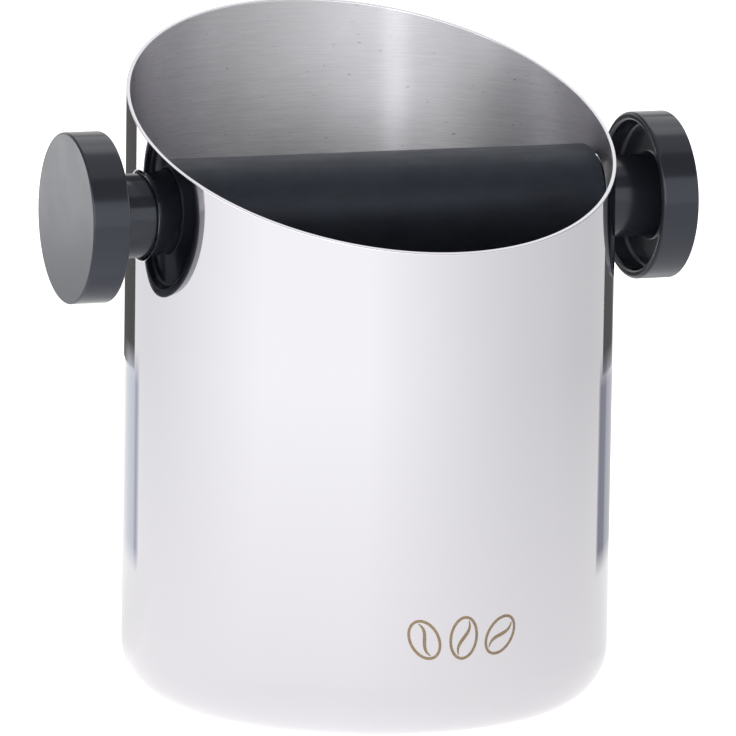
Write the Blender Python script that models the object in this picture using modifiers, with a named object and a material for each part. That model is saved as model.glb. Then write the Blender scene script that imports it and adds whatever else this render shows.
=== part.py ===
"""Espresso knock box: a slant-mouthed steel canister with a rubber-clad knock bar across it.

The canister stands on +Z with its high side at +Y. The bar lies along X through a hole in
each side wall, and a stemmed knob screws onto each of its ends.
"""

import math

import bpy
from mathutils import Matrix, Vector

MM = 0.001
FIT_GAP = 0.3 * MM            # between neighbouring pieces

# Canister: heights are above its own underside
CANISTER_RADIUS = 62.5 * MM
WALL = 1.0 * MM
BASE_CORNER = 15.3 * MM       # outside radius where the wall turns into the base
MOUTH_HEIGHT = 148.75 * MM    # of the slanted mouth, at the canister's axis
MOUTH_SLOPE = 0.3975          # rise of the mouth towards +Y
BAR_HEIGHT = 127.2 * MM       # of the knock bar's axis
WALL_HOLE_RADIUS = 11.4 * MM

# Non-slip pad, seated in a shallow panel of the base
PAD_RADIUS = 44.0 * MM
PAD_PROUD = 1.0 * MM          # how far it stands below the canister
PANEL_DEPTH = 1.2 * MM
PANEL_DRAFT = 0.6 * MM        # width of the panel's sloping edge

# Knock bar: distances along it are from its middle
SLEEVE_RADIUS = 13.9 * MM
SLEEVE_HALF_LENGTH = 59.6 * MM
CORE_RADIUS = 6.0 * MM
THREAD_RADIUS = 4.0 * MM      # M8
THREAD_END = 74.5 * MM
WASHER_RADIUS = 10.0 * MM
WASHER_THICKNESS = 1.0 * MM
THREAD_CLEARANCE = 0.3 * MM   # between the thread and what turns on it

# Knob: a cupped disc on a stem
KNOB_FACE = 82.1 * MM         # outer face, from the middle of the bar
KNOB_THICKNESS = 9.9 * MM
KNOB_RADIUS = 21.65 * MM
KNOB_RIM = 2.3 * MM           # width of the lip round the hollow back
KNOB_HOLLOW = 5.3 * MM        # depth of the hollow back
STEM_RADIUS = 10.65 * MM
INSERT_RADIUS = 6.0 * MM
INSERT_LENGTH = 14.0 * MM
INSERT_GROOVE = 0.6 * MM

# Facets round a full turn
CANISTER_STEPS = 96
KNOB_STEPS = 48
BAR_STEPS = 48
SMALL_STEPS = 32
SHARP_ANGLE = math.radians(35)

STEEL = (0.80, 0.79, 0.78)
BRASS = (0.72, 0.56, 0.28)
BLACK_PLASTIC = (0.025, 0.026, 0.029)
BLACK_RUBBER = (0.020, 0.021, 0.024)
PAD_RUBBER = (0.030, 0.030, 0.030)


def clear_scene():
    for thing in list(bpy.data.objects):
        bpy.data.objects.remove(thing, do_unlink=True)


def new_collection(name):
    collection = bpy.data.collections.new(name)
    bpy.context.scene.collection.children.link(collection)
    return collection


def make_material(name, colour, roughness, metallic):
    material = bpy.data.materials.new(name)
    material.use_nodes = True
    shader = material.node_tree.nodes["Principled BSDF"]
    shader.inputs["Base Color"].default_value = (*colour, 1.0)
    shader.inputs["Roughness"].default_value = roughness
    shader.inputs["Metallic"].default_value = metallic
    material.diffuse_color = (*colour, 1.0)
    return material


def fillet_arc(before, corner, after, fillet, segments):
    """Points of the arc of radius fillet that rounds the corner between its two neighbours."""
    to_before = (before - corner).normalized()
    to_after = (after - corner).normalized()
    half_angle = to_before.angle(to_after) / 2
    centre = corner + (to_before + to_after).normalized() * fillet / math.sin(half_angle)
    reach = fillet / math.tan(half_angle)
    start = corner + to_before * reach - centre
    end = corner + to_after * reach - centre
    sweep = start.angle_signed(end)
    return [centre + Matrix.Rotation(-sweep * step / segments, 2) @ start for step in range(segments + 1)]


def rounded_path(corners, segments):
    """Points of a path through (radius, height, fillet) corners, each fillet drawn as an arc."""
    places = [Vector(corner[:2]) for corner in corners]
    points = []
    for index, place in enumerate(places):
        fillet = corners[index][2]
        if fillet > 0.0:
            following = places[(index + 1) % len(places)]
            points.extend(fillet_arc(places[index - 1], place, following, fillet, segments))
        else:
            points.append(place)
    return points


def turned(name, collection, corners, steps, closed=False, segments=2):
    """A profile of (radius, height, fillet) corners, turned about the object's own Z."""
    points = rounded_path(corners, segments)
    edges = [(index, index + 1) for index in range(len(points) - 1)]
    if closed:
        edges.append((len(points) - 1, 0))
    mesh = bpy.data.meshes.new(name)
    mesh.from_pydata([(point.x, 0.0, point.y) for point in points], edges, [])
    piece = bpy.data.objects.new(name, mesh)
    collection.objects.link(piece)
    screw = piece.modifiers.new("turn", "SCREW")
    screw.axis = "Z"
    screw.steps = steps
    screw.render_steps = steps
    screw.use_merge_vertices = True
    screw.merge_threshold = 0.00001
    return piece


def bake_round(piece, material):
    """Keep the evaluated mesh, shaded smooth with its real edges sharp, and give it its material."""
    depsgraph = bpy.context.evaluated_depsgraph_get()
    mesh = bpy.data.meshes.new_from_object(piece.evaluated_get(depsgraph))
    mesh.name = piece.name
    piece.modifiers.clear()
    piece.data = mesh
    mesh.shade_smooth()
    mesh.set_sharp_from_angle(angle=SHARP_ANGLE)
    mesh.materials.clear()
    mesh.materials.append(material)


def as_cutter(cutter, name, cutters):
    """Put a primitive that was just added among the cutters."""
    cutter.name = name
    for collection in list(cutter.users_collection):
        collection.objects.unlink(cutter)
    cutters.objects.link(cutter)
    cutter.hide_render = True
    cutter.display_type = "WIRE"
    return cutter


def mouth_cutter(cutters):
    """A block whose underside lies on the slanted plane of the mouth."""
    size = 6 * CANISTER_RADIUS
    tilt = math.atan(MOUTH_SLOPE)
    normal = Vector((0.0, -math.sin(tilt), math.cos(tilt)))
    centre = Vector((0.0, 0.0, PAD_PROUD + MOUTH_HEIGHT)) + normal * size / 2
    bpy.ops.mesh.primitive_cube_add(size=size, location=centre, rotation=(tilt, 0.0, 0.0))
    return as_cutter(bpy.context.object, "mouth_cutter", cutters)


def bar_hole_cutter(cutters):
    """A rod right through both side walls, along X."""
    bpy.ops.mesh.primitive_cylinder_add(
        vertices=BAR_STEPS,
        radius=WALL_HOLE_RADIUS,
        depth=3 * CANISTER_RADIUS,
        location=(0.0, 0.0, PAD_PROUD + BAR_HEIGHT),
        rotation=(0.0, math.pi / 2, 0.0),
    )
    return as_cutter(bpy.context.object, "bar_hole_cutter", cutters)


def cut(piece, cutter):
    boolean = piece.modifiers.new(cutter.name, "BOOLEAN")
    boolean.operation = "DIFFERENCE"
    boolean.solver = "EXACT"
    boolean.object = cutter


def make_canister(parts, cutters):
    """Deep-drawn shell: one outer skin turned and thickened inwards, then cut."""
    panel_radius = PAD_RADIUS + FIT_GAP
    top = MOUTH_HEIGHT + 2 * MOUTH_SLOPE * CANISTER_RADIUS
    skin = [
        (CANISTER_RADIUS, top, 0.0),
        (CANISTER_RADIUS, 0.0, BASE_CORNER),
        (panel_radius + PANEL_DRAFT, 0.0, 0.0),
        (panel_radius, PANEL_DEPTH, 0.0),
        (0.0, PANEL_DEPTH, 0.0),
    ]
    canister = turned("canister_shell", parts, skin, CANISTER_STEPS, segments=6)
    canister.location.z = PAD_PROUD
    solidify = canister.modifiers.new("wall", "SOLIDIFY")
    solidify.thickness = WALL
    solidify.offset = -1.0
    solidify.use_even_offset = True
    cut(canister, mouth_cutter(cutters))
    cut(canister, bar_hole_cutter(cutters))
    bake_round(canister, make_material("polished_steel", STEEL, 0.08, 1.0))


def make_base_pad(parts):
    top = PAD_PROUD + PANEL_DEPTH - FIT_GAP
    edge = 0.5 * MM
    profile = [
        (0.0, top, 0.0),
        (PAD_RADIUS, top, 0.0),
        (PAD_RADIUS, 0.0, edge),
        (0.0, 0.0, 0.0),
    ]
    pad = turned("base_pad", parts, profile, KNOB_STEPS)
    bake_round(pad, make_material("pad_rubber", PAD_RUBBER, 0.85, 0.0))


def make_bar_core(parts, bar):
    """Steel rod with a threaded spigot at each end, turned as one bar."""
    shoulder = SLEEVE_HALF_LENGTH
    chamfer = 0.8 * MM
    profile = [
        (0.0, THREAD_END, 0.0),
        (THREAD_RADIUS - chamfer, THREAD_END, 0.0),
        (THREAD_RADIUS, THREAD_END - chamfer, 0.0),
        (THREAD_RADIUS, shoulder, 0.0),
        (CORE_RADIUS, shoulder, 0.0),
        (CORE_RADIUS, -shoulder, 0.0),
        (THREAD_RADIUS, -shoulder, 0.0),
        (THREAD_RADIUS, chamfer - THREAD_END, 0.0),
        (THREAD_RADIUS - chamfer, -THREAD_END, 0.0),
        (0.0, -THREAD_END, 0.0),
    ]
    core = turned("bar_core", parts, profile, SMALL_STEPS)
    put_on_bar(core, bar, 1)
    bake_round(core, make_material("core_steel", STEEL, 0.30, 1.0))


def make_bar_sleeve(parts, bar):
    """Thick rubber tube over the core, with slightly rounded ends."""
    bore = CORE_RADIUS + FIT_GAP
    edge = 0.7 * MM
    profile = [
        (SLEEVE_RADIUS, SLEEVE_HALF_LENGTH, edge),
        (SLEEVE_RADIUS, -SLEEVE_HALF_LENGTH, edge),
        (bore, -SLEEVE_HALF_LENGTH, 0.0),
        (bore, SLEEVE_HALF_LENGTH, 0.0),
    ]
    sleeve = turned("bar_sleeve", parts, profile, BAR_STEPS, closed=True)
    put_on_bar(sleeve, bar, 1)
    bake_round(sleeve, make_material("bar_rubber", BLACK_RUBBER, 0.55, 0.0))


def put_on_bar(piece, bar, side):
    """Lay a piece's own Z along the bar, pointing to +X for side 1 and to -X for side -1."""
    piece.rotation_euler = (0.0, side * math.pi / 2, 0.0)
    piece.parent = bar


def make_washer(parts, bar, side, material):
    """Captive steel washer between the end of the sleeve and the end of the knob's stem."""
    inner_face = SLEEVE_HALF_LENGTH + FIT_GAP
    outer_face = inner_face + WASHER_THICKNESS
    bore = THREAD_RADIUS + THREAD_CLEARANCE
    profile = [
        (WASHER_RADIUS, outer_face, 0.0),
        (WASHER_RADIUS, inner_face, 0.0),
        (bore, inner_face, 0.0),
        (bore, outer_face, 0.0),
    ]
    washer = turned(side_name(side, "washer"), parts, profile, SMALL_STEPS, closed=True)
    put_on_bar(washer, bar, side)
    bake_round(washer, material)


def stem_end():
    """Where the knob's stem stops, from the middle of the bar: just clear of the washer."""
    return SLEEVE_HALF_LENGTH + FIT_GAP + WASHER_THICKNESS + FIT_GAP


def make_insert(parts, bar, side, material):
    """Threaded brass bush in the knob's stem, with one locking groove round its middle."""
    inner_face = stem_end() + FIT_GAP
    outer_face = inner_face + INSERT_LENGTH
    middle = (inner_face + outer_face) / 2
    bore = THREAD_RADIUS + THREAD_CLEARANCE
    profile = [
        (INSERT_RADIUS, outer_face, 0.0),
        (INSERT_RADIUS, middle + INSERT_GROOVE, 0.0),
        (INSERT_RADIUS - INSERT_GROOVE, middle + INSERT_GROOVE, 0.0),
        (INSERT_RADIUS - INSERT_GROOVE, middle - INSERT_GROOVE, 0.0),
        (INSERT_RADIUS, middle - INSERT_GROOVE, 0.0),
        (INSERT_RADIUS, inner_face, 0.0),
        (bore, inner_face, 0.0),
        (bore, outer_face, 0.0),
    ]
    insert = turned(side_name(side, "insert"), parts, profile, SMALL_STEPS, closed=True)
    put_on_bar(insert, bar, side)
    bake_round(insert, material)


def make_knob(parts, bar, side, material):
    """Disc with a hollow back and a stem that rises from the floor of the hollow."""
    back = KNOB_FACE - KNOB_THICKNESS
    floor = back + KNOB_HOLLOW
    hollow_radius = KNOB_RADIUS - KNOB_RIM
    socket_radius = INSERT_RADIUS + FIT_GAP
    socket_end = stem_end() + INSERT_LENGTH + 4 * FIT_GAP
    face_edge = 0.5 * MM
    rim_edge = 0.8 * MM
    hollow_fillet = 1.0 * MM
    profile = [
        (0.0, KNOB_FACE, 0.0),
        (KNOB_RADIUS, KNOB_FACE, face_edge),
        (KNOB_RADIUS, back, rim_edge),
        (hollow_radius, back, rim_edge),
        (hollow_radius, floor, hollow_fillet),
        (STEM_RADIUS, floor, hollow_fillet),
        (STEM_RADIUS, stem_end(), face_edge),
        (socket_radius, stem_end(), 0.0),
        (socket_radius, socket_end, 0.0),
        (0.0, socket_end, 0.0),
    ]
    knob = turned(side_name(side, "knob"), parts, profile, KNOB_STEPS)
    put_on_bar(knob, bar, side)
    bake_round(knob, material)


def side_name(side, name):
    return ("right_" if side > 0 else "left_") + name


def make_knock_bar(parts):
    """Everything that turns with the bar, under an empty on its axis."""
    bar = bpy.data.objects.new("knock_bar", None)
    bar.location.z = PAD_PROUD + BAR_HEIGHT
    parts.objects.link(bar)
    bpy.context.view_layer.update()
    make_bar_core(parts, bar)
    make_bar_sleeve(parts, bar)
    for side in (-1, 1):
        plastic = make_material(side_name(side, "knob_plastic"), BLACK_PLASTIC, 0.22, 0.0)
        brass = make_material(side_name(side, "insert_brass"), BRASS, 0.30, 1.0)
        steel = make_material(side_name(side, "washer_steel"), STEEL, 0.25, 1.0)
        make_washer(parts, bar, side, steel)
        make_insert(parts, bar, side, brass)
        make_knob(parts, bar, side, plastic)


def main():
    clear_scene()
    parts = new_collection("espresso_knock_box")
    cutters = new_collection("cutters")
    make_canister(parts, cutters)
    make_base_pad(parts)
    make_knock_bar(parts)


main()
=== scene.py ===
"""Looks of the espresso knock box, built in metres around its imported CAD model.

The canister stands on +Z with its high side at +Y, and the knock bar lies along X. Every
visible piece is modelled here in the frame's own coordinates and rides on its CAD body.
"""

import math

import bmesh
import bpy
from mathutils import Matrix, Vector


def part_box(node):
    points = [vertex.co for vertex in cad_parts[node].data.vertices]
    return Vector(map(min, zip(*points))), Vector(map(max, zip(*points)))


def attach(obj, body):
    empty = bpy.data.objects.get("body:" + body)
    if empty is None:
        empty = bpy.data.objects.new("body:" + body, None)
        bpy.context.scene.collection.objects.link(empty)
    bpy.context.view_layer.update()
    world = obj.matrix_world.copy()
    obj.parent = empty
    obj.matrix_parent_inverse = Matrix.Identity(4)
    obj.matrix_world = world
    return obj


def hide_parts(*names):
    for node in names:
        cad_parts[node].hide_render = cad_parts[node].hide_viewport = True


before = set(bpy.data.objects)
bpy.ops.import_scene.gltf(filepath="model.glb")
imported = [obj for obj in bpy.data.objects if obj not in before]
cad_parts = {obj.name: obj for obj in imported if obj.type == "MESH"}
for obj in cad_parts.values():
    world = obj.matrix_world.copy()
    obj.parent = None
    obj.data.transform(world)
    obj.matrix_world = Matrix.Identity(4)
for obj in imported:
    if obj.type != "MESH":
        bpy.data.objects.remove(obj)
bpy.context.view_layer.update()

MM = 0.001

# Canister, read from the CAD box
SHELL_LOW, SHELL_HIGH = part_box("canister_shell")
SKIN_INSET = 0.04 * MM                 # lets the etched emblem lie within the CAD box
OUTER_RADIUS = SHELL_HIGH.y - SKIN_INSET
WALL = 1.0 * MM
INNER_RADIUS = SHELL_HIGH.y - WALL
BASE_Z = SHELL_LOW.z
BASE_CORNER = 15.3 * MM
MOUTH_SLOPE = 0.3975
PANEL_RADIUS = 44.6 * MM
PANEL_DEPTH = 1.2 * MM
RIM_EDGE = 0.16 * MM                   # rounding of the mouth's edges
COLUMNS = 240                          # facets round the canister

# Knock bar, read from the CAD boxes: distances along it are from its middle
SLEEVE_LOW, SLEEVE_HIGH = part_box("bar_sleeve")
BAR_Z = (SLEEVE_LOW.z + SLEEVE_HIGH.z) / 2
SLEEVE_RADIUS = SLEEVE_HIGH.y
SLEEVE_END = SLEEVE_HIGH.x
CORE_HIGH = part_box("bar_core")[1]
WASHER_LOW, WASHER_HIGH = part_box("right_washer")
INSERT_LOW, INSERT_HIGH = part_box("right_insert")
KNOB_LOW, KNOB_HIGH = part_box("right_knob")
HOLE_RADIUS = 11.4 * MM
HOLE_EDGE = 0.34 * MM
CORE_RADIUS = CORE_HIGH.y
THREAD_RADIUS = 4.0 * MM
THREAD_DEPTH = 0.62 * MM
THREAD_PITCH = 1.25 * MM
BORE_RADIUS = 4.3 * MM
KNOB_RADIUS = KNOB_HIGH.y
KNOB_THICKNESS = 9.9 * MM
KNOB_RIM = 2.3 * MM
KNOB_HOLLOW = 5.3 * MM
STEM_RADIUS = 10.65 * MM
SOCKET_RADIUS = 6.3 * MM
CORE_EDGE = 0.4 * MM                   # chamfer at each end of the rod's thick part
THREAD_CHAMFER = 0.8 * MM

# Facets round each turned piece
KNOB_FACETS = 160
SLEEVE_FACETS = 128
WASHER_FACETS = 96
INSERT_FACETS = 72
PAD_FACETS = 144
CORE_FACETS = 48
POLE_RADIUS = 1e-7                     # a point nearer its axis than this is on it

# The photograph's view
CAMERA_AZIMUTH = math.radians(-21.502)
CAMERA_ELEVATION = math.radians(9.763)
CAMERA_TILT = math.radians(-0.312)
CAMERA_ROLL = math.radians(0.849)
CAMERA_DISTANCE = 1.8699
CAMERA_LENS = 357.25
AIM_HEIGHT = 0.076


# ---------------------------------------------------------------- meshes

def fillet_arc(before, corner, after, fillet, segments):
    """Points of the arc of radius fillet that rounds the corner between its two neighbours."""
    to_before = (before - corner).normalized()
    to_after = (after - corner).normalized()
    half_angle = to_before.angle(to_after) / 2
    centre = corner + (to_before + to_after).normalized() * fillet / math.sin(half_angle)
    reach = fillet / math.tan(half_angle)
    start = corner + to_before * reach - centre
    end = corner + to_after * reach - centre
    sweep = start.angle_signed(end)
    return [centre + Matrix.Rotation(-sweep * step / segments, 2) @ start for step in range(segments + 1)]


def rounded_path(corners, segments=8, guard=0.05 * MM):
    """Points of a path through (radius, place, fillet) corners.

    Each fillet is an arc with a guard point just before and after it, so that smooth shading
    stays flat on the flat stretches. A corner without a fillet stays a single point.
    """
    places = [Vector(corner[:2]) for corner in corners]
    points = []
    for index, place in enumerate(places):
        fillet = corners[index][2]
        if fillet <= 0.0:
            points.append(place)
            continue
        before = places[index - 1]
        after = places[(index + 1) % len(places)]
        arc = fillet_arc(before, place, after, fillet, segments)
        points.append(arc[0] + (before - place).normalized() * guard)
        points.extend(arc)
        points.append(arc[-1] + (after - place).normalized() * guard)
    return points


def new_object(name, mesh, *materials):
    piece = bpy.data.objects.new(name, mesh)
    bpy.context.scene.collection.objects.link(piece)
    for material in materials:
        mesh.materials.append(material)
    return piece


def about_bar(radius, angle, place):
    """A point turned about the bar's axis; place runs along +X."""
    return (place, radius * math.cos(angle), BAR_Z + radius * math.sin(angle))


def about_canister(radius, angle, place):
    """A point turned about the canister's axis; place runs along +Z."""
    return (radius * math.cos(angle), radius * math.sin(angle), place)


def turned_mesh(name, points, facets, closed=False, about=about_bar):
    """Turns a path of (radius, place) points about an axis."""
    verts = []
    rings = []
    for radius, place in points:
        if radius < POLE_RADIUS:
            rings.append([len(verts)])
            verts.append(about(0.0, 0.0, place))
            continue
        rings.append(list(range(len(verts), len(verts) + facets)))
        for facet in range(facets):
            verts.append(about(radius, 2 * math.pi * facet / facets, place))
    faces = []
    pairs = list(zip(rings, rings[1:]))
    if closed:
        pairs.append((rings[-1], rings[0]))
    for upper, lower in pairs:
        faces.extend(ring_faces(upper, lower))
    mesh = bpy.data.meshes.new(name)
    mesh.from_pydata(verts, [], faces)
    mesh.validate()
    mesh.shade_smooth()
    return mesh


def ring_faces(upper, lower):
    """Faces between two closed rings of vertex numbers; either may be a single pole."""
    count = max(len(upper), len(lower))
    faces = []
    for here in range(count):
        there = (here + 1) % count
        if len(upper) == 1:
            faces.append((upper[0], lower[here], lower[there]))
        elif len(lower) == 1:
            faces.append((upper[here], lower[0], upper[there]))
        else:
            faces.append((upper[here], lower[here], lower[there], upper[there]))
    return faces


def mirrored(mesh, name):
    """A copy of a right-hand mesh on the left-hand end of the bar."""
    copy = mesh.copy()
    copy.name = name
    copy.transform(Matrix.Rotation(math.pi, 4, "Z"))
    return copy


def mouth_z(y):
    """Height of the slanted mouth's plane."""
    return SHELL_HIGH.z - MOUTH_SLOPE * (SHELL_HIGH.y - y)


class CanisterMesh:
    """The canister's skin, as rings of COLUMNS vertices with a round hole at each end of the bar."""

    HOLE_COLUMNS = 9                   # columns on each side of a hole's middle
    BLOCK_LOW = 14.0 * MM              # how far the block round a hole reaches below its middle
    BLOCK_HIGH = 14.0 * MM
    BLOCK_ROWS = 18
    WALL_ROWS = 12                     # rows below the blocks
    RIM_ROWS = 6                       # and above them
    FADE_COLUMNS = 12                  # over which the rows leave the blocks' heights
    MIDDLE_SHARE = 0.75                # where the rim's rows start, away from the blocks
    DRAWN_STEPS = 6                    # from a block's square loop to its hole's edge
    EDGE_STEPS = 6                     # in each rounding of a hole's and the mouth's edges
    CORNER_STEPS = 28                  # in the base's rounded corner
    PANEL_DRAFT = 0.4 * MM
    PANEL_FILLET = 0.5 * MM
    PANEL_RINGS = (0.75, 0.5, 0.25, 0.08)   # shares of the panel's radius

    def __init__(self):
        self.verts = []
        self.normals = {}
        self.faces = []
        self.looks = []                # material number of each face: 0 outside, 1 inside, 2 underside

    def point(self, place, normal=None):
        self.verts.append(tuple(place))
        if normal is not None:
            self.normals[len(self.verts) - 1] = normal
        return len(self.verts) - 1

    def add_faces(self, faces, look):
        self.faces.extend(faces)
        self.looks.extend([look] * len(faces))

    def level_ring(self, radius, height, normal=None):
        """A level ring; normal is (outward, upward) where the exact one matters."""
        ring = []
        for column in range(COLUMNS):
            angle = 2 * math.pi * column / COLUMNS
            out = Vector((math.cos(angle), math.sin(angle), 0.0))
            exact = None
            if normal is not None:
                exact = out * normal[0] + Vector((0.0, 0.0, normal[1]))
            ring.append(self.point(out * radius + Vector((0.0, 0.0, height)), exact))
        return ring

    def wall_ring(self, radius, heights, facing):
        """A ring on the wall, at its own height in each column; facing is 1 outside, -1 inside."""
        ring = []
        for column, height in enumerate(heights):
            angle = 2 * math.pi * column / COLUMNS
            out = Vector((math.cos(angle), math.sin(angle), 0.0))
            ring.append(self.point(out * radius + Vector((0.0, 0.0, height)), out * facing))
        return ring

    def rim_ring(self, radius, below):
        """A ring of the mouth's edge, below the slanted plane."""
        ring = []
        for column in range(COLUMNS):
            angle = 2 * math.pi * column / COLUMNS
            y = radius * math.sin(angle)
            ring.append(self.point((radius * math.cos(angle), y, mouth_z(y) - below)))
        return ring

    @staticmethod
    def spaced(low, high, count):
        """Evenly spaced heights from low up to, but without, high."""
        return [low + (high - low) * step / count for step in range(count)]

    def row_heights(self, radius):
        """Heights of the wall's rows: up to the holes' blocks, across them, and on to the rim."""
        block_low = BAR_Z - self.BLOCK_LOW
        block_high = BAR_Z + self.BLOCK_HIGH
        wall_low = BASE_Z + BASE_CORNER
        columns = []
        for column in range(COLUMNS):
            angle = 2 * math.pi * column / COLUMNS
            rim = mouth_z(radius * math.sin(angle)) - 1.5 * RIM_EDGE
            share = (block_high - block_low) / (rim - block_low)
            from_hole = abs(math.remainder(column, COLUMNS / 2)) - self.HOLE_COLUMNS
            fade = min(max(from_hole / self.FADE_COLUMNS, 0.0), 1.0)
            middle = block_low + (rim - block_low) * (share * (1 - fade) + self.MIDDLE_SHARE * fade)
            rows = self.spaced(wall_low, block_low, self.WALL_ROWS)
            rows += self.spaced(block_low, middle, self.BLOCK_ROWS)
            rows += self.spaced(middle, rim, self.RIM_ROWS) + [rim]
            columns.append(rows)
        return [[rows[step] for rows in columns] for step in range(len(columns[0]))]

    def block(self, rings, side):
        """The vertices round a hole's block, and the faces to leave out inside it."""
        middle = 0 if side > 0 else COLUMNS // 2
        left = [(middle - self.HOLE_COLUMNS) % COLUMNS]
        for _ in range(2 * self.HOLE_COLUMNS):
            left.append((left[-1] + 1) % COLUMNS)
        low = self.WALL_ROWS
        high = low + self.BLOCK_ROWS
        loop = [rings[low][column] for column in left]
        loop += [rings[row][left[-1]] for row in range(low + 1, high + 1)]
        loop += [rings[high][column] for column in reversed(left[:-1])]
        loop += [rings[row][left[0]] for row in range(high - 1, low, -1)]
        return loop, low, high, set(left[:-1])

    def wall(self, radius, facing, look):
        """One side of the wall, but for the blocks round the holes. Returns its rings."""
        rings = [self.wall_ring(radius, heights, facing) for heights in self.row_heights(radius)]
        _, low, high, right_gap = self.block(rings, 1)
        left_gap = self.block(rings, -1)[3]
        for row, (lower, upper) in enumerate(zip(rings, rings[1:])):
            for here in range(COLUMNS):
                if low <= row < high and here in right_gap | left_gap:
                    continue
                there = (here + 1) % COLUMNS
                self.add_faces([(lower[here], lower[there], upper[there], upper[here])], look)
        return rings

    def hole_ring(self, angles, hole_radius, wall_radius, depth, side, facing=None):
        ring = []
        for angle in angles:
            y = hole_radius * math.cos(angle)
            x = math.sqrt(wall_radius ** 2 - y ** 2)
            normal = None
            if facing is not None:
                normal = Vector((x * side, y, 0.0)).normalized() * facing
            place = ((x - depth) * side, y, BAR_Z + hole_radius * math.sin(angle))
            ring.append(self.point(place, normal))
        return ring

    def hole(self, outer_rings, inner_rings, side):
        """A bar hole: both walls drawn in to its rounded edges, and the bright band between them."""
        outer_loop = self.block(outer_rings, side)[0]
        inner_loop = self.block(inner_rings, side)[0]
        angles = []
        for vertex in outer_loop:
            _, y, z = self.verts[vertex]
            angles.append(math.atan2(z - BAR_Z, y))
        edge_radius = HOLE_RADIUS + HOLE_EDGE
        outer = self.drawn_in(outer_loop, angles, OUTER_RADIUS, edge_radius, side, 1)
        inner = self.drawn_in(inner_loop, angles, INNER_RADIUS, edge_radius, side, -1)
        band = []
        for step in range(1, self.EDGE_STEPS + 1):
            turn = math.pi / 2 * step / self.EDGE_STEPS
            radius = edge_radius - HOLE_EDGE * math.sin(turn)
            depth = HOLE_EDGE * (1 - math.cos(turn))
            band.append((radius, depth))
        rings = [self.hole_ring(angles, radius, OUTER_RADIUS, depth, side) for radius, depth in band]
        rings += [self.hole_ring(angles, radius, INNER_RADIUS, -depth, side)
                  for radius, depth in reversed(band)]
        chain = [outer[-1]] + rings + [inner[-1]]
        for ring_a, ring_b in zip(outer, outer[1:]):
            self.add_faces(ring_faces(ring_a, ring_b), 0)
        for step, (ring_a, ring_b) in enumerate(zip(chain, chain[1:])):
            self.add_faces(ring_faces(ring_a, ring_b), 0 if step < self.EDGE_STEPS else 1)
        for ring_a, ring_b in zip(inner, inner[1:]):
            self.add_faces(ring_faces(ring_a, ring_b), 1)

    def drawn_in(self, loop, angles, wall_radius, edge_radius, side, facing):
        """Rings from a block's square loop to the start of the hole's rounded edge."""
        rings = [loop]
        corners = [self.verts[vertex] for vertex in loop]
        for step in range(1, self.DRAWN_STEPS + 1):
            share = step / self.DRAWN_STEPS
            ring = []
            for angle, (_, y, z) in zip(angles, corners):
                y_here = y + (edge_radius * math.cos(angle) - y) * share
                z_here = z + (BAR_Z + edge_radius * math.sin(angle) - z) * share
                x_here = math.sqrt(wall_radius ** 2 - y_here ** 2) * side
                normal = Vector((x_here, y_here, 0.0)).normalized() * facing
                ring.append(self.point((x_here, y_here, z_here), normal))
            rings.append(ring)
        return rings

    def rim(self, outer_top, inner_top):
        """The mouth's edge: flat along the slanted cut, rounded on both sides."""
        rings = [outer_top]
        for step in range(self.EDGE_STEPS + 1):
            turn = math.pi / 2 * step / self.EDGE_STEPS
            inward = RIM_EDGE * (1 - math.cos(turn))
            rings.append(self.rim_ring(OUTER_RADIUS - inward, RIM_EDGE * (1 - math.sin(turn))))
        for step in range(self.EDGE_STEPS, -1, -1):
            turn = math.pi / 2 * step / self.EDGE_STEPS
            inward = RIM_EDGE * (1 - math.cos(turn))
            rings.append(self.rim_ring(INNER_RADIUS + inward, RIM_EDGE * (1 - math.sin(turn))))
        rings.append(inner_top)
        for ring_a, ring_b in zip(rings, rings[1:]):
            self.add_faces(ring_faces(ring_a, ring_b), 0)

    def base(self, wall_ring, radius, thickness, facing, look):
        """Rounded corner, floor and sunken panel, from the wall's lowest ring to the middle."""
        corner = radius - (SHELL_HIGH.y - BASE_CORNER)
        middle_z = BASE_Z + BASE_CORNER
        rings = [wall_ring]
        for step in range(1, self.CORNER_STEPS + 1):
            turn = math.pi / 2 * step / self.CORNER_STEPS
            place = (radius - corner * (1 - math.cos(turn)), middle_z - corner * math.sin(turn))
            rings.append(self.level_ring(*place, (math.cos(turn) * facing, -math.sin(turn) * facing)))
        floor_z = middle_z - corner
        widening = thickness * 0.3     # the sheet's bend is a little wider on its upper side
        panel = [
            (radius - corner, floor_z, 0.0),
            (PANEL_RADIUS + widening, floor_z, self.PANEL_FILLET),
            (PANEL_RADIUS - self.PANEL_DRAFT + widening, floor_z + PANEL_DEPTH, self.PANEL_FILLET),
            (0.0, floor_z + PANEL_DEPTH, 0.0),
        ]
        flat_rings = [self.level_ring(*point) for point in rounded_path(panel, 5)[1:-1]]
        for share in self.PANEL_RINGS:
            flat_rings.append(self.level_ring(PANEL_RADIUS * share, floor_z + PANEL_DEPTH))
        pole = [self.point((0.0, 0.0, floor_z + PANEL_DEPTH))]
        for ring_a, ring_b in zip(rings, rings[1:]):
            self.add_faces(ring_faces(ring_a, ring_b), look)
        flat_look = 2 if facing > 0 else look
        chain = [rings[-1]] + flat_rings + [pole]
        for ring_a, ring_b in zip(chain, chain[1:]):
            self.add_faces(ring_faces(ring_a, ring_b), flat_look)

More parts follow.
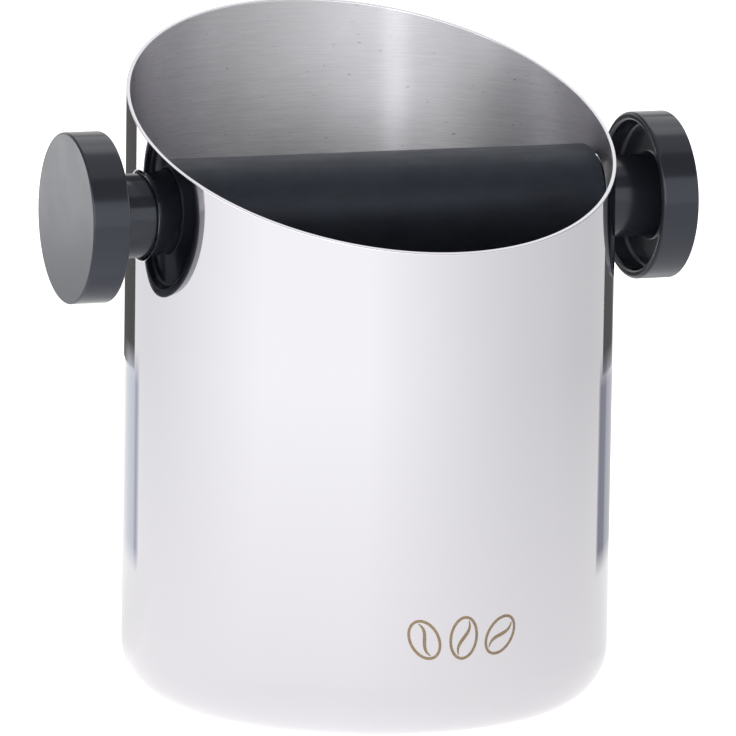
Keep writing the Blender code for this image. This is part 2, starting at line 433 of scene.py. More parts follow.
    def build(self):
        outer = self.wall(OUTER_RADIUS, 1, 0)
        inner = self.wall(INNER_RADIUS, -1, 1)
        self.hole(outer, inner, 1)
        self.hole(outer, inner, -1)
        self.rim(outer[-1], inner[-1])
        self.base(outer[0], OUTER_RADIUS, 0.0, 1, 0)
        self.base(inner[0], INNER_RADIUS, WALL, -1, 1)
        mesh = bpy.data.meshes.new("canister")
        mesh.from_pydata(self.verts, [], self.faces)
        mesh.polygons.foreach_set("material_index", self.looks)
        return mesh


def facing_out(mesh, normals=None):
    """Turns a closed mesh's faces outwards and shades it smooth, by exact normals where given."""
    shape = bmesh.new()
    shape.from_mesh(mesh)
    bmesh.ops.recalc_face_normals(shape, faces=shape.faces)
    shape.to_mesh(mesh)
    shape.free()
    mesh.shade_smooth()
    if normals:
        exact = [tuple(normals.get(vertex.index, vertex.normal)) for vertex in mesh.vertices]
        mesh.normals_split_custom_set_from_vertices(exact)


def make_canister():
    builder = CanisterMesh()
    mesh = builder.build()
    facing_out(mesh, builder.normals)
    canister = new_object("canister", mesh, mirror_steel(), brushed_steel(), satin_steel())
    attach(canister, "vessel")
    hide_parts("canister_shell")


def make_knobs():
    """Disc with a hollow back, on a stem, with the socket for its insert."""
    back = KNOB_HIGH.x - KNOB_THICKNESS
    floor = back + KNOB_HOLLOW
    stem_end = KNOB_LOW.x
    hollow_radius = KNOB_RADIUS - KNOB_RIM
    socket_end = INSERT_HIGH.x + 0.9 * MM
    path = rounded_path([
        (0.0, KNOB_HIGH.x, 0.0),
        (KNOB_RADIUS * 0.3, KNOB_HIGH.x, 0.0),
        (KNOB_RADIUS * 0.6, KNOB_HIGH.x, 0.0),
        (KNOB_RADIUS, KNOB_HIGH.x, 0.55 * MM),
        (KNOB_RADIUS, back, 0.8 * MM),
        (hollow_radius, back, 0.8 * MM),
        (hollow_radius, floor, 1.2 * MM),
        (STEM_RADIUS, floor, 1.0 * MM),
        (STEM_RADIUS, stem_end, 0.5 * MM),
        (SOCKET_RADIUS, stem_end, 0.2 * MM),
        (SOCKET_RADIUS, socket_end, 0.2 * MM),
        (0.0, socket_end, 0.0),
    ])
    mesh = turned_mesh("knob", path, KNOB_FACETS)
    facing_out(mesh)
    plastic = knob_plastic()
    right = new_object("knob_right", mesh, plastic)
    left = new_object("knob_left", mirrored(mesh, "knob_left"))
    for knob, side in ((right, "right"), (left, "left")):
        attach(knob, side + "_grip")
        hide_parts(side + "_knob")


def make_sleeve():
    bore = CORE_RADIUS + 0.3 * MM
    path = rounded_path([
        (SLEEVE_RADIUS, SLEEVE_END, 0.7 * MM),
        (SLEEVE_RADIUS, -SLEEVE_END, 0.7 * MM),
        (bore, -SLEEVE_END, 0.3 * MM),
        (bore, SLEEVE_END, 0.3 * MM),
    ])
    mesh = turned_mesh("sleeve", path, SLEEVE_FACETS, closed=True)
    facing_out(mesh)
    sleeve = new_object("sleeve", mesh, bar_rubber())
    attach(sleeve, "bar")
    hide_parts("bar_sleeve")


def thread_depth(turns):
    """How far the thread's surface lies below its crest, at a place counted in turns."""
    phase = turns % 1.0
    slope = abs(2 * phase - 1)
    return THREAD_DEPTH * min(max((slope - 0.12) / 0.74, 0.0), 1.0)


def make_core():
    """The rod inside the sleeve, with a right-hand thread cut on each end."""
    thread_end = CORE_HIGH.x
    rows_per_turn = 10
    row_count = int((thread_end - SLEEVE_END) / THREAD_PITCH * rows_per_turn)
    verts = []
    rings = []

    def ring(place, radius_of):
        rings.append(list(range(len(verts), len(verts) + CORE_FACETS)))
        for facet in range(CORE_FACETS):
            angle = 2 * math.pi * facet / CORE_FACETS
            verts.append(about_bar(radius_of(angle), angle, place))

    def plain(radius):
        return lambda angle: radius

    def threaded(place, side):
        run_out = min((place - SLEEVE_END) / (1.5 * THREAD_PITCH), 1.0)
        tip = thread_end - place
        limit = THREAD_RADIUS - max(THREAD_CHAMFER - tip, 0.0)

        def radius_of(angle):
            turns = place / THREAD_PITCH * side + angle / (2 * math.pi)
            return min(THREAD_RADIUS - thread_depth(-turns) * run_out, limit)
        return radius_of

    def whole_end(side):
        places = [SLEEVE_END + (thread_end - SLEEVE_END) * row / row_count
                  for row in range(row_count + 1)]
        for place in (places if side < 0 else reversed(places)):
            ring(place * side, threaded(place, side))

    whole_end(1)
    thick_end = ((SLEEVE_END, CORE_RADIUS - CORE_EDGE), (SLEEVE_END - CORE_EDGE, CORE_RADIUS))
    for place, radius in thick_end:
        ring(place, plain(radius))
    for place, radius in reversed(thick_end):
        ring(-place, plain(radius))
    whole_end(-1)
    first = len(verts)
    verts.append((thread_end, 0.0, BAR_Z))
    verts.append((-thread_end, 0.0, BAR_Z))
    faces = ring_faces([first], rings[0])
    for ring_a, ring_b in zip(rings, rings[1:]):
        faces.extend(ring_faces(ring_a, ring_b))
    faces.extend(ring_faces(rings[-1], [first + 1]))
    mesh = bpy.data.meshes.new("core")
    mesh.from_pydata(verts, [], faces)
    facing_out(mesh)
    mesh.set_sharp_from_angle(angle=math.radians(50))
    core = new_object("core", mesh, turned_steel())
    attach(core, "bar")
    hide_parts("bar_core")


def make_washers():
    edge = 0.25 * MM
    path = rounded_path([
        (WASHER_HIGH.y, WASHER_HIGH.x, edge),
        (WASHER_HIGH.y, WASHER_LOW.x, edge),
        (BORE_RADIUS, WASHER_LOW.x, edge),
        (BORE_RADIUS, WASHER_HIGH.x, edge),
    ], 5)
    mesh = turned_mesh("washer", path, WASHER_FACETS, closed=True)
    facing_out(mesh)
    steel = turned_steel()
    right = new_object("washer_right", mesh, steel)
    left = new_object("washer_left", mirrored(mesh, "washer_left"))
    for washer, side in ((right, "right"), (left, "left")):
        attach(washer, side + "_thread")
        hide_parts(side + "_washer")


def make_inserts():
    """Threaded brass bushes with a groove round the middle and chamfered ends."""
    radius = INSERT_HIGH.y
    middle = (INSERT_LOW.x + INSERT_HIGH.x) / 2
    half_groove = 0.6 * MM
    edge = 0.3 * MM
    path = rounded_path([
        (radius, INSERT_HIGH.x, edge),
        (radius, middle + half_groove, edge),
        (radius - half_groove, middle + half_groove, 0.15 * MM),
        (radius - half_groove, middle - half_groove, 0.15 * MM),
        (radius, middle - half_groove, edge),
        (radius, INSERT_LOW.x, edge),
        (BORE_RADIUS, INSERT_LOW.x, edge),
        (BORE_RADIUS, INSERT_HIGH.x, edge),
    ], 4)
    mesh = turned_mesh("insert", path, INSERT_FACETS, closed=True)
    facing_out(mesh)
    brass = insert_brass()
    right = new_object("insert_right", mesh, brass)
    left = new_object("insert_left", mirrored(mesh, "insert_left"))
    for insert, side in ((right, "right"), (left, "left")):
        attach(insert, side + "_grip")
        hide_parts(side + "_insert")


def make_base_pad():
    """The non-slip pad, with a moulded groove near its edge."""
    low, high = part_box("base_pad")
    radius = high.y
    groove = 0.5 * MM
    path = rounded_path([
        (0.0, high.z, 0.0),
        (radius, high.z, 0.3 * MM),
        (radius, low.z, 0.5 * MM),
        (radius - 4.0 * MM, low.z, 0.2 * MM),
        (radius - 4.0 * MM, low.z + groove, 0.2 * MM),
        (radius - 6.0 * MM, low.z + groove, 0.2 * MM),
        (radius - 6.0 * MM, low.z, 0.2 * MM),
        (0.0, low.z, 0.0),
    ], 5)
    mesh = turned_mesh("pad", path, PAD_FACETS, about=about_canister)
    facing_out(mesh)
    pad = new_object("pad", mesh, pad_rubber())
    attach(pad, "vessel")
    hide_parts("base_pad")


# ---------------------------------------------------------------- emblem

EMBLEM_ANGLE = math.radians(-88.0)     # about the canister, from +X
EMBLEM_Z = 28.0 * MM
EMBLEM_FACE = OUTER_RADIUS + 0.02 * MM
EMBLEM_BACK = OUTER_RADIUS - 0.15 * MM
BEAN_SPACING = 10.4 * MM
BEAN_LENGTH = 5.2 * MM                 # half of the bean's long side
BEAN_WIDTH = 3.5 * MM
BEAN_STROKE = 0.37 * MM                # half of a line's width


def bean_lines(centre, tilt):
    """One coffee bean as (points, closed, widths): its outline and its curved crease."""
    turn = Matrix.Rotation(tilt, 2)
    outline = []
    steps = 64
    for step in range(steps):
        angle = 2 * math.pi * step / steps
        place = Vector((BEAN_WIDTH * math.cos(angle), BEAN_LENGTH * math.sin(angle)))
        outline.append(centre + turn @ place)
    crease = []
    widths = []
    steps = 32
    for step in range(steps + 1):
        along = 2 * step / steps - 1
        place = Vector((1.15 * MM * math.sin(along * 2.4), along * BEAN_LENGTH * 0.84))
        crease.append(centre + turn @ place)
        widths.append(BEAN_STROKE * (0.35 + 0.9 * (1 - along * along)))
    return [(outline, True, [BEAN_STROKE] * len(outline)), (crease, False, widths)]


def on_wall(place, radius):
    """A point of the emblem's flat drawing, laid round the wall."""
    angle = EMBLEM_ANGLE + place.x / OUTER_RADIUS
    return (radius * math.cos(angle), radius * math.sin(angle), EMBLEM_Z + place.y)


def add_line(verts, faces, points, closed, widths):
    """A thin raised ribbon along a line: four vertices at each point."""
    first = len(verts)
    count = len(points)
    for index, point in enumerate(points):
        before = points[index - 1] if closed or index > 0 else point
        after = points[(index + 1) % count] if closed or index < count - 1 else point
        along = (after - before).normalized()
        across = Vector((-along.y, along.x)) * widths[index]
        for offset, radius in ((across, EMBLEM_FACE), (-across, EMBLEM_FACE),
                               (-across, EMBLEM_BACK), (across, EMBLEM_BACK)):
            verts.append(on_wall(point + offset, radius))
    spans = count if closed else count - 1
    for span in range(spans):
        here = first + 4 * span
        there = first + 4 * ((span + 1) % count)
        for corner in range(4):
            following = (corner + 1) % 4
            faces.append((here + corner, here + following, there + following, there + corner))
    if not closed:
        last = first + 4 * (count - 1)
        faces.append((first, first + 3, first + 2, first + 1))
        faces.append((last, last + 1, last + 2, last + 3))


def make_emblem():
    """A generic row of three coffee beans, etched low on the front."""
    verts = []
    faces = []
    for place, tilt in ((-1, 32), (0, -8), (1, -38)):
        centre = Vector((place * BEAN_SPACING, 0.0))
        for points, closed, widths in bean_lines(centre, math.radians(tilt)):
            add_line(verts, faces, points, closed, widths)
    mesh = bpy.data.meshes.new("emblem")
    mesh.from_pydata(verts, [], faces)
    facing_out(mesh)
    mesh.set_sharp_from_angle(angle=math.radians(40))
    emblem = new_object("emblem", mesh, etched_steel())
    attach(emblem, "vessel")


# ---------------------------------------------------------------- materials

class Look:
    """A material under construction: its node tree, its shader and short ways to add nodes."""

    def __init__(self, name, colour, roughness, metallic=0.0):
        self.material = bpy.data.materials.new(name)
        self.material.use_nodes = True
        self.tree = self.material.node_tree
        self.shader = self.tree.nodes["Principled BSDF"]
        self.set("Base Color", (*colour, 1.0))
        self.set("Roughness", roughness)
        self.set("Metallic", metallic)
        self.place = self.node("ShaderNodeTexCoord").outputs["Object"]

    def set(self, socket, value):
        self.shader.inputs[socket].default_value = value

    def node(self, kind, **settings):
        made = self.tree.nodes.new(kind)
        for name, value in settings.items():
            setattr(made, name, value)
        return made

    def link(self, output, socket):
        self.tree.links.new(output, socket)

    def maths(self, operation, first, second=0.0):
        made = self.node("ShaderNodeMath", operation=operation)
        for socket, value in zip(made.inputs, (first, second)):
            if isinstance(value, (int, float)):
                socket.default_value = value
            else:
                self.link(value, socket)
        return made.outputs[0]

    def stretched(self, vector, scale):
        """The place, stretched by a different scale along each axis."""
        made = self.node("ShaderNodeVectorMath", operation="MULTIPLY")
        self.link(vector, made.inputs[0])
        made.inputs[1].default_value = scale
        return made.outputs[0]

    def noise(self, vector, scale=1.0, detail=3.0, roughness=0.55):
        made = self.node("ShaderNodeTexNoise")
        made.inputs["Scale"].default_value = scale
        made.inputs["Detail"].default_value = detail
        made.inputs["Roughness"].default_value = roughness
        self.link(vector, made.inputs["Vector"])
        return made.outputs["Fac"]

    def between(self, value, low, high, start=0.3, end=0.7):
        """Maps value from start..end to low..high."""
        made = self.node("ShaderNodeMapRange")
        self.link(value, made.inputs["Value"])
        made.inputs["From Min"].default_value = start
        made.inputs["From Max"].default_value = end
        made.inputs["To Min"].default_value = low
        made.inputs["To Max"].default_value = high
        return made.outputs["Result"]

    def mixed(self, factor, first, second):
        made = self.node("ShaderNodeMix", data_type="RGBA")
        self.link(factor, made.inputs["Factor"])
        for socket, value in ((made.inputs[6], first), (made.inputs[7], second)):
            if isinstance(value, tuple):
                socket.default_value = (*value, 1.0)
            else:
                self.link(value, socket)
        return made.outputs[2]

    def bump(self, height, distance, strength=1.0, after=None):
        made = self.node("ShaderNodeBump")
        made.inputs["Distance"].default_value = distance
        made.inputs["Strength"].default_value = strength
        self.link(height, made.inputs["Height"])
        if after is not None:
            self.link(after, made.inputs["Normal"])
        return made.outputs["Normal"]

    def round_the_canister(self):
        """Places for brushing round Z: slow round the canister, fast up its wall and out over its floor."""
        parts = self.node("ShaderNodeSeparateXYZ")
        self.link(self.place, parts.inputs[0])
        flat = self.node("ShaderNodeVectorMath", operation="LENGTH")
        level = self.stretched(self.place, (1.0, 1.0, 0.0))
        self.link(level, flat.inputs[0])
        rise = self.maths("SUBTRACT", parts.outputs["Z"], flat.outputs["Value"])
        joined = self.node("ShaderNodeCombineXYZ")
        self.link(parts.outputs["X"], joined.inputs[0])
        self.link(parts.outputs["Y"], joined.inputs[1])
        self.link(rise, joined.inputs[2])
        return joined.outputs[0]

    def round_the_bar(self):
        """Places for turning marks round the bar's axis: fast along it and out over its ends."""
        centred = self.node("ShaderNodeVectorMath", operation="SUBTRACT")
        self.link(self.place, centred.inputs[0])
        centred.inputs[1].default_value = (0.0, 0.0, BAR_Z)
        parts = self.node("ShaderNodeSeparateXYZ")
        self.link(centred.outputs[0], parts.inputs[0])
        flat = self.node("ShaderNodeVectorMath", operation="LENGTH")
        self.link(self.stretched(centred.outputs[0], (0.0, 1.0, 1.0)), flat.inputs[0])
        run = self.maths("ADD", self.maths("ABSOLUTE", parts.outputs["X"]), flat.outputs["Value"])
        joined = self.node("ShaderNodeCombineXYZ")
        self.link(run, joined.inputs[0])
        self.link(parts.outputs["Y"], joined.inputs[1])
        self.link(parts.outputs["Z"], joined.inputs[2])
        return joined.outputs[0]


def mirror_steel():
    """Polished outside: a near mirror, with faint polishing lines and cloudy smears."""
    look = Look("mirror_steel", (0.640, 0.632, 0.662), 0.04, 1.0)
    round_place = look.round_the_canister()
    smears = look.noise(look.place, 38.0, 4.0)
    lines = look.noise(look.stretched(round_place, (22.0, 22.0, 2600.0)), 1.0, 2.0)
    roughness = look.maths("ADD", look.between(smears, 0.015, 0.05), look.between(lines, 0.0, 0.02))
    look.link(roughness, look.shader.inputs["Roughness"])
    look.link(look.bump(lines, 0.004 * MM, 0.3), look.shader.inputs["Normal"])
    return look.material


def brushed_steel():
    """Brushed inside: fine scratches round the wall and in rings over the floor."""
    look = Look("brushed_steel", (0.62, 0.61, 0.60), 0.36, 1.0)
    round_place = look.round_the_canister()
    fine = look.noise(look.stretched(round_place, (150.0, 150.0, 4300.0)), 1.0, 3.0, 0.6)
    coarse = look.noise(look.stretched(round_place, (26.0, 26.0, 1300.0)), 1.0, 3.0, 0.6)
    cloud = look.noise(look.place, 24.0, 3.0)
    scratches = look.maths("ADD", look.maths("MULTIPLY", fine, 0.7), look.maths("MULTIPLY", coarse, 0.3))
    brushed = look.mixed(look.between(scratches, 0.0, 1.0), (0.515, 0.508, 0.535), (0.685, 0.677, 0.700))
    specks = look.noise(look.stretched(round_place, (520.0, 520.0, 1600.0)), 1.0, 2.0)
    tone = look.mixed(look.between(specks, 0.0, 1.0, 0.70, 0.75), brushed, (0.22, 0.22, 0.24))
    look.link(tone, look.shader.inputs["Base Color"])
    roughness = look.maths("ADD", look.between(scratches, 0.28, 0.37), look.between(cloud, 0.0, 0.05))
    look.link(roughness, look.shader.inputs["Roughness"])
    look.link(look.bump(scratches, 0.02 * MM, 0.5), look.shader.inputs["Normal"])
    look.set("Anisotropic", 0.95)
    look.set("Anisotropic Rotation", 0.25)
    tangent = look.node("ShaderNodeTangent", direction_type="RADIAL", axis="Z")
    look.link(tangent.outputs[0], look.shader.inputs["Tangent"])
    return look.material


def satin_steel():
    """The underside, left as drawn: dull, with light stretch marks."""
    look = Look("satin_steel", (0.60, 0.59, 0.58), 0.38, 1.0)
    cloud = look.noise(look.place, 60.0, 5.0, 0.6)
    look.link(look.between(cloud, 0.30, 0.46), look.shader.inputs["Roughness"])
    look.link(look.bump(look.noise(look.place, 900.0, 3.0), 0.02 * MM, 0.3), look.shader.inputs["Normal"])
    return look.material


def etched_steel():
    """The emblem's etched lines: browned, dull steel."""
    look = Look("etched_steel", (0.30, 0.24, 0.18), 0.5, 1.0)
    mottle = look.noise(look.place, 2400.0, 3.0)
    look.link(look.mixed(look.between(mottle, 0.0, 1.0), (0.20, 0.15, 0.10), (0.35, 0.27, 0.18)),
              look.shader.inputs["Base Color"])
    look.link(look.between(mottle, 0.42, 0.60), look.shader.inputs["Roughness"])
    return look.material


def knob_plastic():
    """Glossy black plastic with a slight orange peel, faint handling marks and a little dust."""
    look = Look("knob_plastic", (0.026, 0.029, 0.039), 0.2)
    handling = look.noise(look.place, 55.0, 4.0)
    look.link(look.between(handling, 0.12, 0.21), look.shader.inputs["Roughness"])
    dust = look.between(look.noise(look.place, 1900.0, 2.0), 0.0, 1.0, 0.70, 0.78)
    look.link(look.mixed(dust, (0.026, 0.029, 0.039), (0.05, 0.05, 0.055)), look.shader.inputs["Base Color"])
    look.link(look.bump(look.noise(look.place, 420.0, 2.0), 0.01 * MM, 0.5), look.shader.inputs["Normal"])
    look.set("Specular Tint", (0.84, 0.89, 1.0, 1.0))
    return look.material


def bar_rubber():
    """Dense black rubber: satin, finely grained, with pale scuffs where it has been knocked on."""
    look = Look("bar_rubber", (0.043, 0.050, 0.067), 0.5)
    grain = look.noise(look.place, 2600.0, 3.0, 0.6)
    smudges = look.noise(look.place, 130.0, 3.0)
    scuffs = look.noise(look.stretched(look.place, (60.0, 420.0, 420.0)), 1.0, 4.0, 0.6)
    smudged = look.between(smudges, 0.0, 1.0, 0.35, 0.65)
    rubber = look.mixed(smudged, (0.038, 0.044, 0.060), (0.048, 0.056, 0.074))
    worn = look.between(scuffs, 0.0, 1.0, 0.56, 0.74)
    look.link(look.mixed(worn, rubber, (0.055, 0.058, 0.068)), look.shader.inputs["Base Color"])
    look.link(look.between(scuffs, 0.42, 0.58), look.shader.inputs["Roughness"])
    look.link(look.bump(grain, 0.03 * MM, 0.6), look.shader.inputs["Normal"])
    look.set("Specular Tint", (0.86, 0.92, 1.0, 1.0))
    look.set("Specular IOR Level", 0.30)
    return look.material


def pad_rubber():
    """Soft matt rubber under the base."""
    look = Look("pad_rubber", (0.028, 0.028, 0.028), 0.85)
    grain = look.noise(look.place, 1500.0, 4.0, 0.6)
    look.link(look.mixed(look.between(grain, 0.0, 1.0), (0.020, 0.020, 0.020), (0.045, 0.045, 0.045)),
              look.shader.inputs["Base Color"])
    look.link(look.between(grain, 0.75, 0.92), look.shader.inputs["Roughness"])
    look.link(look.bump(grain, 0.06 * MM, 0.6), look.shader.inputs["Normal"])
    return look.material


def turned(name, dark, light, low, high):
    """Machined metal with tool marks round the bar's axis."""
    look = Look(name, light, high, 1.0)
    marks = look.noise(look.stretched(look.round_the_bar(), (5200.0, 40.0, 40.0)), 1.0, 2.0)
    look.link(look.mixed(look.between(marks, 0.0, 1.0), dark, light), look.shader.inputs["Base Color"])
    look.link(look.between(marks, low, high), look.shader.inputs["Roughness"])
    look.link(look.bump(marks, 0.01 * MM, 0.4), look.shader.inputs["Normal"])
    return look.material


def turned_steel():
    return turned("turned_steel", (0.55, 0.55, 0.56), (0.72, 0.72, 0.72), 0.18, 0.34)


def insert_brass():
    return turned("insert_brass", (0.62, 0.44, 0.18), (0.80, 0.62, 0.30), 0.18, 0.34)


# ---------------------------------------------------------------- stage, light and camera

WORLD_LIGHT = 0.3

# The floor is a light table. Its glow runs between these strengths
FLOOR_NEAR = 1.02                      # close to the object, on its left
FLOOR_NEAR_DIM = 0.87                  # close to it, towards DIM_AZIMUTH
FLOOR_FRONT = 1.23                     # further out, in front and on the left
FLOOR_DIM = 0.71                       # further out, towards DIM_AZIMUTH
FLOOR_BEHIND = 0.65                    # share of the glow that is left straight behind
FLOOR_BACKDROP = 1.30                  # further out, towards BACKDROP_AZIMUTH
FLOOR_SWEEP = 1.76                     # furthest out, towards SWEEP_AZIMUTH
DIM_AZIMUTH = 88.0
BACKDROP_AZIMUTH = 158.5               # where the photograph's view sees the floor as background
SWEEP_AZIMUTH = 207.0                  # what the left knob's face reflects
NEAR_RAMP = (-0.45, 1.0)               # each ramp is the cosines it starts and ends at
SIDE_RAMP = (-0.33, 1.0)
BEHIND_RAMP = (-0.35, 1.0)
BACKDROP_RAMP = (0.87, 0.98)
SWEEP_RAMP = (0.87, 0.94)
OUTWARD_REACH = (0.04, 0.60)           # each reach is the distances it starts and ends at
SWEEP_REACH = (0.80, 0.95)
FLOOR_SIZE = 14.0
FLOOR_DROP = 0.1 * MM                  # keeps the floor clear of the pad's underside
FLOOR_WHITE = (0.5, 0.5, 0.5)          # what it reflects, beside its own glow

LIGHT_DISTANCE = 1.8
LIGHTS = (                             # name, azimuth, elevation, width, height, power
    ("top_back", 147.0, 52.0, 1.4, 1.2, 4.9),
)
BLACK = (0.112, 0.108, 0.105)
CARD_STEP = 2                          # degrees of azimuth in each of a card's facets
LOW_ROWS = ((0.20, 0.003, 0.0), (0.20, 0.010, 1.0), (0.20, 0.056, 1.0), (0.20, 0.066, 0.0))
HIGH_ROWS = ((0.55, 0.0, 1.0), (0.55, 0.09, 1.0), (0.55, 0.16, 0.0))
# Each card is a name, (distance, height, opacity) rows and (azimuth, glow, opacity) stops
CARDS = (
    ("tent", ((1.60, 0.0, 1.0), (1.60, 0.95, 1.0)), (
        (-180, 0.90), (-160, 1.15), (-148, 0.80), (-132, 0.32), (-119, 0.32), (-113, 1.75),
        (-105, 1.45), (-88, 1.45), (-57, 2.25), (-40, 2.45), (-37, 3.50), (-29, 3.75),
        (-26, 2.40), (-15, 2.35), (12, 1.62), (40, 1.32), (65, 1.06), (85, 0.62),
        (105, 0.40), (130, 0.90), (180, 0.90))),
    ("low_glow", ((1.50, 0.0, 1.0), (1.50, 0.22, 1.0), (1.50, 0.34, 0.0)), (
        (-112, 3.00, 0.0), (-100, 3.00), (-80, 3.00), (-66, 3.00, 0.0))),
    ("ceiling", ((0.01, 2.20, 1.0), (1.40, 2.20, 1.0)), ((-180, 0.80), (180, 0.80))),
    ("flag_right", HIGH_ROWS, ((118, BLACK), (138, BLACK), (152, BLACK, 0.0))),
    ("flag_left", HIGH_ROWS, ((165, BLACK, 0.0), (174, BLACK), (201, BLACK))),
    ("low_flag_right", LOW_ROWS, (
        (102, (0.56, 0.56, 0.60), 0.0), (103, (0.56, 0.56, 0.60)), (105, (0.30, 0.30, 0.35)),
        (113, (0.30, 0.31, 0.37)), (116, (0.50, 0.51, 0.55)), (134, (0.62, 0.63, 0.66)),
        (154, (0.80, 0.80, 0.80), 0.0))),
    ("low_flag_left", LOW_ROWS, (
        (188, (0.84, 0.87, 0.92), 0.0), (202, (0.84, 0.87, 0.92)), (212, (0.74, 0.79, 0.86)),
        (215, (0.48, 0.50, 0.58)), (218, (0.78, 0.80, 0.86)), (219, (0.78, 0.80, 0.86), 0.0))),
    ("ground", ((0.064, 0.0, 0.9), (0.12, 0.0, 0.9), (0.26, 0.0, 0.0)), (
        (80, 0.95, 0.0), (108, 0.95), (205, 0.95), (233, 0.95, 0.0))),
)


def compass(azimuth):
    """The level direction at an azimuth: 0 points to the front, and 90 to the right."""
    return Vector((math.sin(math.radians(azimuth)), -math.cos(math.radians(azimuth)), 0.0))


def make_floor():
    """A white light table, a little dimmer on the right and behind, bright as the background."""
    bpy.ops.mesh.primitive_plane_add(size=FLOOR_SIZE, location=(0.0, 0.0, -FLOOR_DROP))
    floor = bpy.context.object
    floor.name = "floor"
    look = Look("floor_white", FLOOR_WHITE, 0.9)
    look.set("Specular IOR Level", 0.0)
    level = look.stretched(look.place, (1.0, 1.0, 0.0))
    distance = look.node("ShaderNodeVectorMath", operation="LENGTH")
    look.link(level, distance.inputs[0])
    towards = look.node("ShaderNodeVectorMath", operation="NORMALIZE")
    look.link(level, towards.inputs[0])

    def along(direction):
        dot = look.node("ShaderNodeVectorMath", operation="DOT_PRODUCT")
        look.link(towards.outputs[0], dot.inputs[0])
        dot.inputs[1].default_value = direction
        return dot.outputs["Value"]

    def blend(factor, first, second):
        mix = look.node("ShaderNodeMix")
        look.link(factor, mix.inputs[0])
        for socket, value in ((mix.inputs[2], first), (mix.inputs[3], second)):
            if isinstance(value, float):
                socket.default_value = value
            else:
                look.link(value, socket)
        return mix.outputs[0]

    sides = look.between(along(compass(DIM_AZIMUTH)), FLOOR_FRONT, FLOOR_DIM, *SIDE_RAMP)
    behind = look.between(along(Vector((0.0, 1.0, 0.0))), 1.0, FLOOR_BEHIND, *BEHIND_RAMP)
    backdrop = look.between(along(compass(BACKDROP_AZIMUTH)), 0.0, 1.0, *BACKDROP_RAMP)
    far = blend(backdrop, look.maths("MULTIPLY", sides, behind), FLOOR_BACKDROP)
    out_there = look.between(distance.outputs["Value"], 0.0, 1.0, *SWEEP_REACH)
    sweep = look.between(along(compass(SWEEP_AZIMUTH)), 0.0, 1.0, *SWEEP_RAMP)
    far = blend(look.maths("MULTIPLY", out_there, sweep), far, FLOOR_SWEEP)
    outwards = look.between(distance.outputs["Value"], 0.0, 1.0, *OUTWARD_REACH)
    near = look.between(along(compass(DIM_AZIMUTH)), FLOOR_NEAR, FLOOR_NEAR_DIM, *NEAR_RAMP)
    glow = blend(outwards, near, far)
    tone = look.mixed(outwards, (1.0, 0.985, 0.975), (1.0, 1.0, 1.0))
    look.link(tone, look.shader.inputs["Emission Color"])
    look.link(glow, look.shader.inputs["Emission Strength"])
    look.material.cycles.emission_sampling = "NONE"
    floor.data.materials.append(look.material)


def make_card(name, rows, stops):
    """A curved card that shows only in reflections; its glow runs from stop to stop."""
    verts = []
    glows = []
    stops = [(stop[0], Vector(glow_of(*stop[1:]))) for stop in stops]
    for (start, glow_start), (end, glow_end) in zip(stops, stops[1:]):
        steps = max(1, round((end - start) / CARD_STEP))
        for step in range(steps + 1):
            share = step / steps
            direction = compass(start + (end - start) * share)
            red, green, blue, opacity = glow_start.lerp(glow_end, share)
            for distance, height, row_opacity in rows:
                verts.append(direction * distance + Vector((0.0, 0.0, height)))
                glows.append((red, green, blue, opacity * row_opacity))
    across = len(rows)
    faces = []
    for column in range(0, len(verts) - across, across):
        for row in range(across - 1):
            here = column + row
            faces.append((here, here + across, here + across + 1, here + 1))
    mesh = bpy.data.meshes.new(name)
    mesh.from_pydata(verts, [], faces)
    layer = mesh.color_attributes.new("glow", "FLOAT_COLOR", "POINT")
    for index, glow in enumerate(glows):
        layer.data[index].color = glow
    look = Look(name, (0.0, 0.0, 0.0), 1.0)
    look.set("Specular IOR Level", 0.0)
    tone = look.node("ShaderNodeVertexColor", layer_name="glow")
    look.link(tone.outputs["Color"], look.shader.inputs["Emission Color"])
    look.link(tone.outputs["Alpha"], look.shader.inputs["Alpha"])
    look.set("Emission Strength", 1.0)
    look.material.cycles.emission_sampling = "NONE"
    card = new_object(name, mesh, look.material)
    card.visible_camera = False
    card.visible_diffuse = False
    card.visible_shadow = False
    card.visible_transmission = False


def glow_of(glow, opacity=1.0):
    """A stop's colour and opacity; a single number is a grey."""
    return (glow, glow, glow, opacity) if isinstance(glow, float) else (*glow, opacity)


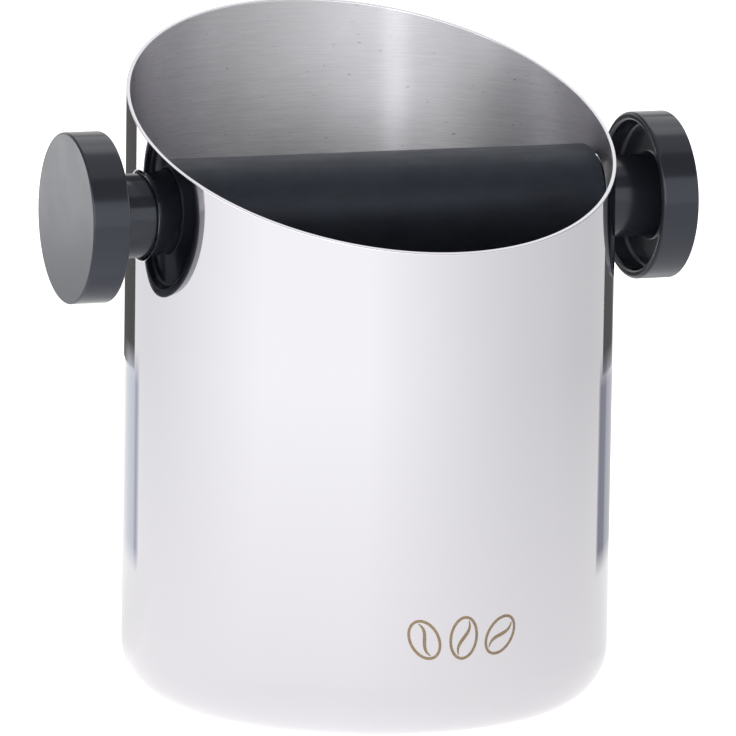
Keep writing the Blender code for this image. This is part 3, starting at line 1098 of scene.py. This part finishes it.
def make_lights():
    world = bpy.data.worlds.new("studio")
    bpy.context.scene.world = world
    world.use_nodes = True
    world.node_tree.nodes["Background"].inputs["Color"].default_value = (1.0, 1.0, 1.0, 1.0)
    world.node_tree.nodes["Background"].inputs["Strength"].default_value = WORLD_LIGHT
    for light in LIGHTS:
        add_light(*light)
    for card in CARDS:
        make_card(*card)


def add_light(name, azimuth, elevation, width, height, power):
    """A soft box aimed at the object from LIGHT_DISTANCE away."""
    light = bpy.data.lights.new(name, "AREA")
    light.shape = "RECTANGLE"
    light.size = width
    light.size_y = height
    light.energy = power
    lamp = bpy.data.objects.new(name, light)
    bpy.context.scene.collection.objects.link(lamp)
    away = view_axes(math.radians(azimuth), math.radians(elevation))[2]
    lamp.location = Vector((0.0, 0.0, AIM_HEIGHT)) + away * LIGHT_DISTANCE
    lamp.rotation_euler = (-away).to_track_quat("-Z", "Y").to_euler()


def view_axes(azimuth, elevation):
    """The camera's right, up and backward directions."""
    back = Vector((
        math.sin(azimuth) * math.cos(elevation),
        -math.cos(azimuth) * math.cos(elevation),
        math.sin(elevation),
    ))
    right = Vector((0.0, 0.0, 1.0)).cross(back).normalized()
    return right, back.cross(right), back


def make_camera():
    data = bpy.data.cameras.new("camera")
    data.lens = CAMERA_LENS
    data.sensor_width = 36.0
    data.clip_end = 50.0
    camera = bpy.data.objects.new("camera", data)
    bpy.context.scene.collection.objects.link(camera)
    away = view_axes(CAMERA_AZIMUTH, CAMERA_ELEVATION)[2]
    right, up, back = view_axes(CAMERA_AZIMUTH, CAMERA_ELEVATION + CAMERA_TILT)
    level_right = right * math.cos(CAMERA_ROLL) + up * math.sin(CAMERA_ROLL)
    level_up = up * math.cos(CAMERA_ROLL) - right * math.sin(CAMERA_ROLL)
    place = Vector((0.0, 0.0, AIM_HEIGHT)) + away * CAMERA_DISTANCE
    turn = Matrix((level_right, level_up, back)).transposed()
    camera.matrix_world = Matrix.Translation(place) @ turn.to_4x4()
    bpy.context.scene.camera = camera


make_camera()
make_floor()
make_lights()
make_canister()
make_emblem()
make_base_pad()
make_core()
make_sleeve()
make_washers()
make_inserts()
make_knobs()
bpy.context.scene.view_settings.view_transform = "Standard"
